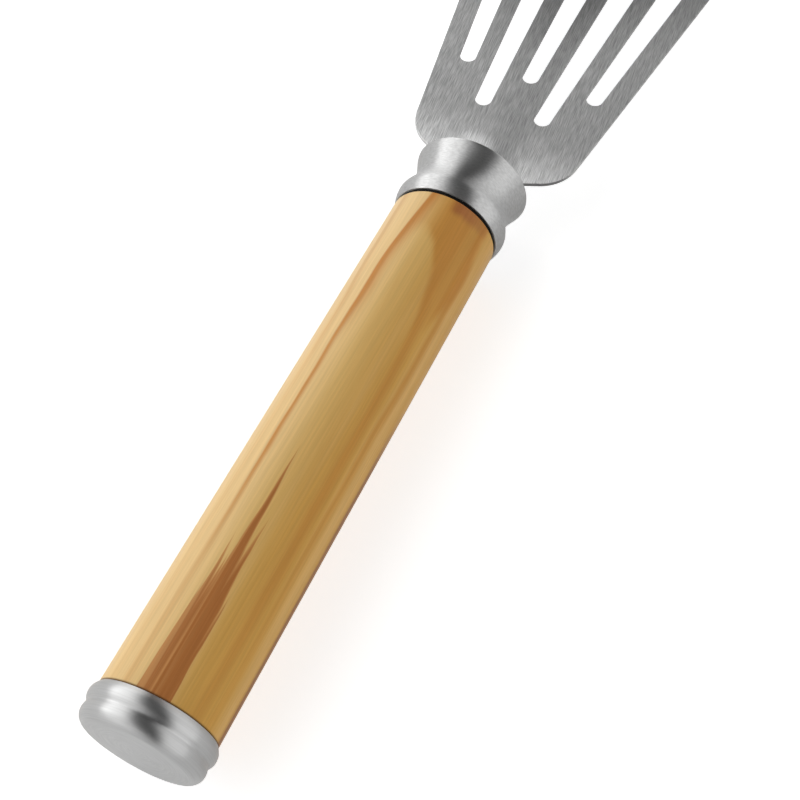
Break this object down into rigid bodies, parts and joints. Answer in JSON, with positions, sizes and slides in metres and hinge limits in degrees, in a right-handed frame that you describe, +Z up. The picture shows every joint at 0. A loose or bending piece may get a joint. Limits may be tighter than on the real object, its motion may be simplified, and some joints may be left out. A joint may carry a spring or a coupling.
{
  "type": "pancake spatula",
  "caption": "Slotted fan-shaped steel spatula blade on a round wooden handle with a turned steel ferrule and end cap, for turning and lifting pancakes.",
  "frame": {"origin": "under the middle of the tool's box, on the surface that the tool lies on", "axes": "+Y along the handle from the butt to the blade, +Z up from the blade's upper face, +X across the blade"},
  "size_m": [0.0764, 0.2898, 0.0275],
  "materials": {
    "blade_steel": "brushed lengthwise",
    "turned_steel": "satin, turned",
    "core_steel": "plain, hidden in the handle",
    "grip_wood": "satin oiled, honey coloured with brown streaks",
    "seal_rubber": "matt black"
  },
  "bodies": {
    "root": {"blade": "blade_steel", "ferrule": "turned_steel", "seal_ring": "seal_rubber", "wood_grip": "grip_wood", "end_cap": "turned_steel", "tie_rod": "core_steel", "tang_pin_1": "core_steel", "tang_pin_2": "core_steel"}
  },
  "joints": []
}
